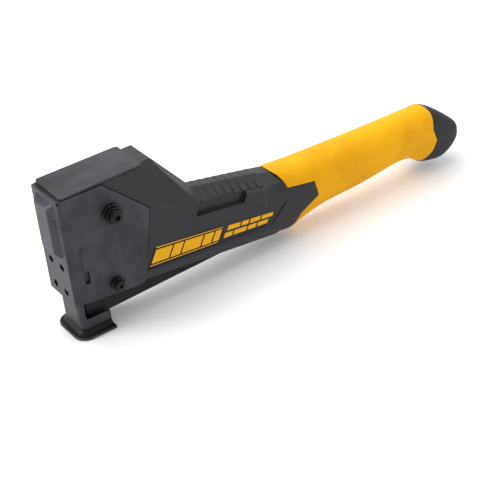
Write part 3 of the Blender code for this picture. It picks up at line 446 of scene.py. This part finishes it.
def slanted(start, end, low, high):
    """Corners of a leaning bar. Low and high are shares of the label's height, which shrinks
    towards the rear as the label's lower edge falls."""
    def at(x, share):
        height = LABEL_HEIGHT - LABEL_SHRINK * (x - LABEL_FRONT)
        return (x + LABEL_LEAN * share * height,
                LABEL_LOW - LABEL_FALL * (x - LABEL_FRONT) + share * height)

    return at(start, low), at(end, low), at(end, high), at(start, high)


def bar_row(name, word, side, start, gap, shares, lengths, thick, cells):
    """Leaning bars one behind the other, numbered from the front."""
    for index, length in enumerate(lengths):
        bar(f"{name}_{index + 1}_{word}", slanted(start, start + length, *shares), side, thick,
            LABEL_BAR, cells)
        start += length + gap


def build_labels():
    """Plain slanted bars where the handle carries its label: a block of five between two rules,
    then two rows of short dashes."""
    for side, word in ((-1, "near"), (1, "far")):
        bar(f"label_field_{word}", slanted(*FIELD_SPAN, *FIELD_SHARES), side, FIELD_THICK,
            LABEL_FIELD)
        bar_row("label_bar", word, side, BAR_START, BAR_GAP, BAR_SHARES, BAR_LENGTHS, BAR_THICK,
                (24, 8))
        for index, low in enumerate(RULE_LOWS):
            bar(f"label_rule_{index + 1}_{word}", slanted(*RULE_SPAN, low, low + RULE_HEIGHT),
                side, BAR_THICK, LABEL_BAR, (40, 3))
        for row, (start, low, lengths) in enumerate(DASH_ROWS):
            bar_row(f"label_dash_{row + 1}", word, side, start, DASH_GAP, (low, low + DASH_HEIGHT),
                    lengths, DASH_THICK, (10, 4))


build_labels()


# ---- thumb ribs on the neck --------------------------------------------------------------------
RIB_PITCH, RIB_WIDTH, RIB_HEIGHT = 6.6, 4.8, 0.22
RIB_FIRST, RIB_COUNT = 110.5, 8
RIB_REACH = 13.8            # how far each rib runs down the chamfers, off the middle of the tool
RIB_TAPER = 0.2             # share of the reach over which its height falls to nothing
RIB_SINK, RIB_ROOT = 0.03, 0.4      # how deep its rim and its underside lie in the moulding
NECK_TOP = ((108.5, -41.4), (168.5, -54.0))
DECK_HALF, CHAMFER_FALL = 4.3, 0.69
CHAMFER_BLEND = 1.2         # width over which a rib turns from the deck onto the chamfer


def neck_surface(x, y):
    """Height of the neck at a place on the drawing: a flat deck that falls in a straight line from
    front to rear, and one plane down each side of it."""
    (x0, z0), (x1, z1) = NECK_TOP
    beyond = np.maximum(np.abs(y) - DECK_HALF, 0.0)
    return z0 + (z1 - z0) * (x - x0) / (x1 - x0) - CHAMFER_FALL * beyond


def build_neck_ribs():
    """Each rib is a grid over the deck and both chamfers. Its height is RIB_HEIGHT * sin(pi u) *
    taper - RIB_SINK, u running across the rib and the taper falling to nothing at each end. The
    grid's underside is the same sheet, RIB_ROOT down in the moulding."""
    shares, places = np.linspace(0.0, 1.0, 9), np.linspace(-RIB_REACH, RIB_REACH, 49)
    u, y = np.meshgrid(shares, places, indexing="ij")
    taper = np.clip((1 - np.abs(y) / RIB_REACH) / RIB_TAPER, 0.0, 1.0)
    lift = RIB_HEIGHT * np.sin(np.pi * u) * taper - RIB_SINK
    beyond = (np.abs(y) - DECK_HALF + CHAMFER_BLEND / 2) / CHAMFER_BLEND
    lean = np.clip(beyond, 0.0, 1.0) * CHAMFER_FALL * np.sign(y)
    slant = np.sqrt(1 + lean ** 2)
    quads, rim = grid_faces(np.arange(u.size).reshape(u.shape))
    walls = np.column_stack((rim, np.roll(rim, -1), np.roll(rim, -1) + u.size, rim + u.size))
    faces = quads.tolist() + (quads[:, ::-1] + u.size).tolist() + walls.tolist()
    for number in range(RIB_COUNT):
        x = RIB_FIRST + number * RIB_PITCH + RIB_WIDTH * u
        sheets = [np.stack((FRONT + x * MM, (y + rise * lean / slant) * MM,
                            TOP + (neck_surface(x, y) + rise / slant) * MM), axis=-1).reshape(-1, 3)
                  for rise in (lift, np.full_like(lift, -RIB_ROOT))]
        rib = finished_piece(f"neck_rib_{number + 1}", np.concatenate(sheets), faces, COMPOSITE)
        rib.data.shade_smooth()
        rib.data.set_sharp_from_angle(angle=math.radians(40))
        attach(rib, HEAD)


build_neck_ribs()


# ---- spring wires ------------------------------------------------------------------------------
WIRE_STEPS, WIRE_SIDES = 20, 10             # points of the wire per turn, and round its section
CLOSED_TURNS, CLOSED_PITCH = 1.2, 2.15      # at each end; the pitch is in wire radii


def build_spring(node, body, start, end, radius, wire, turns):
    """Wire of a compression spring: centre(t) = start + axis * travel(t) + radius * (cos a, sin a),
    with a = 2 pi turns t and the travel slow over the closed turns at both ends. The wire is given
    by its radius."""
    t = np.linspace(0.0, 1.0, turns * WIRE_STEPS + 1)
    axis = (end - start) / np.linalg.norm(end - start)
    first = np.array((1.0, 0.0, 0.0)) if abs(axis[2]) > 0.9 else np.array((0.0, 1.0, 0.0))
    second = np.cross(axis, first)
    closed, dead = CLOSED_TURNS / turns, CLOSED_PITCH * wire * turns
    lift = np.clip((t - closed) / (1 - 2 * closed), 0.0, 1.0)
    travel = (np.minimum(t, closed) + np.maximum(t - 1 + closed, 0.0)) * dead
    travel += lift * (np.linalg.norm(end - start) - 2 * closed * dead)
    angle = 2 * np.pi * turns * t
    outward = np.cos(angle)[:, None] * first + np.sin(angle)[:, None] * second
    centre = start + travel[:, None] * axis + radius * outward
    along = np.gradient(centre, axis=0)
    along /= np.linalg.norm(along, axis=1)[:, None]
    across = np.cross(along, outward)
    phase = 2 * np.pi * np.arange(WIRE_SIDES) / WIRE_SIDES
    tube = centre[:, None] + wire * (np.cos(phase)[None, :, None] * outward[:, None]
                                     + np.sin(phase)[None, :, None] * across[:, None])
    index = np.arange(len(t) * WIRE_SIDES).reshape(len(t), WIRE_SIDES)
    following = np.roll(index, -1, axis=1)
    corners = (index[:-1], following[:-1], following[1:], index[1:])
    quads = np.stack(corners, axis=-1).reshape(-1, 4)
    ends = [index[0].tolist(), index[-1].tolist()]
    obj = finished_piece(f"{node}_wire", tube.reshape(-1, 3), quads.tolist() + ends, SPRING)
    obj.data.shade_smooth()
    obj.data.set_sharp_from_angle(angle=math.radians(50))
    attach(obj, body)
    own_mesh(obj)
    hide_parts(node)


def build_springs():
    wire, radius = 0.8 * MM, 5.0 * MM
    low, high = (np.array(corner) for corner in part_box("return_spring"))
    middle = (low + high) / 2
    build_spring("return_spring", HEAD,
                 np.array((*middle[:2], low[2] + wire)), np.array((*middle[:2], high[2] - wire)),
                 radius, wire, turns=8)
    wire, radius = 0.35 * MM, 2.7 * MM
    low, high = (np.array(corner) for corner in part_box("pusher_spring"))
    build_spring("pusher_spring", "magazine",
                 np.array((low[0] + wire, 0.0, low[2] + radius + wire)),
                 np.array((high[0] - wire, 0.0, high[2] - radius - wire)),
                 radius, wire, turns=20)


build_springs()


# ---- studio ------------------------------------------------------------------------------------
FLOOR_REACH, FLOOR_DROP = 6.0, 0.0002
MIDDLE = (0.15, 0.0, 0.06)
LIGHTS = (                  # name, place, target, width, power
    ("high_light", (0.1, 0.35, 1.5), MIDDLE, 1.2, 14.0),
    ("back_light", (1.0, 1.25, 0.7), MIDDLE, 0.9, 3.6),
    ("front_light", (-1.25, 0.6, 0.6), (0.0, 0.0, 0.06), 0.7, 19.0),
    ("side_light", (1.1, -0.45, 1.0), MIDDLE, 0.8, 4.8),
)
AIR_COLOUR, AIR_STRENGTH = (1.0, 1.0, 1.0, 1.0), 0.6
FOCAL_LENGTH, SENSOR_WIDTH = 100.8, 36.0
CAMERA_CLIP = (0.05, 30.0)
CAMERA_PLACE = (-0.3086, -0.7267, TOP + 0.4619)
CAMERA_AXES = (             # right, up and back
    (0.80945, -0.58095, -0.08535),
    (0.38435, 0.41432, 0.82499),
    (-0.44392, -0.7006, 0.55866),
)


def build_floor():
    """Pale flat floor just under the foot."""
    floor_finish, tree, shader = new_finish("pale_floor", (0.9, 0.9, 0.9), 0.0, 0.7)
    where = coordinates(tree)
    tone = shade(tree, noise(tree, where, 6.0), (0.89, 0.89, 0.89), (0.92, 0.92, 0.92))
    put(tree, shader.inputs["Base Color"], tone)
    mesh = bpy.data.meshes.new("floor")
    mesh.from_pydata([(x * FLOOR_REACH, y * FLOOR_REACH, -FLOOR_DROP)
                      for x, y in ((-1, -1), (1, -1), (1, 1), (-1, 1))], [], [(0, 1, 2, 3)])
    mesh.materials.append(floor_finish)
    floor = bpy.data.objects.new("floor", mesh)
    bpy.context.scene.collection.objects.link(floor)


def soft_light(name, location, target, width, power):
    """A square light that faces its target."""
    light = bpy.data.lights.new(name, "AREA")
    light.shape = "RECTANGLE"
    light.size = light.size_y = width
    light.energy = power
    obj = bpy.data.objects.new(name, light)
    obj.location = location
    facing = Vector(target) - Vector(location)
    obj.rotation_euler = facing.to_track_quat("-Z", "Y").to_euler()
    bpy.context.scene.collection.objects.link(obj)


def build_studio():
    build_floor()
    for light in LIGHTS:
        soft_light(*light)
    world = bpy.data.worlds.new("studio_air")
    world.use_nodes = True
    air = world.node_tree.nodes["Background"]
    air.inputs["Color"].default_value = AIR_COLOUR
    air.inputs["Strength"].default_value = AIR_STRENGTH
    bpy.context.scene.world = world


def build_camera():
    lens = bpy.data.cameras.new("camera")
    lens.lens = FOCAL_LENGTH
    lens.sensor_width = SENSOR_WIDTH
    lens.clip_start, lens.clip_end = CAMERA_CLIP
    camera = bpy.data.objects.new("camera", lens)
    camera.matrix_world = (Matrix.Translation(CAMERA_PLACE)
                           @ Matrix(CAMERA_AXES).transposed().to_4x4())
    bpy.context.scene.collection.objects.link(camera)
    bpy.context.scene.camera = camera


build_studio()
build_camera()
bpy.context.scene.view_settings.view_transform = "Standard"
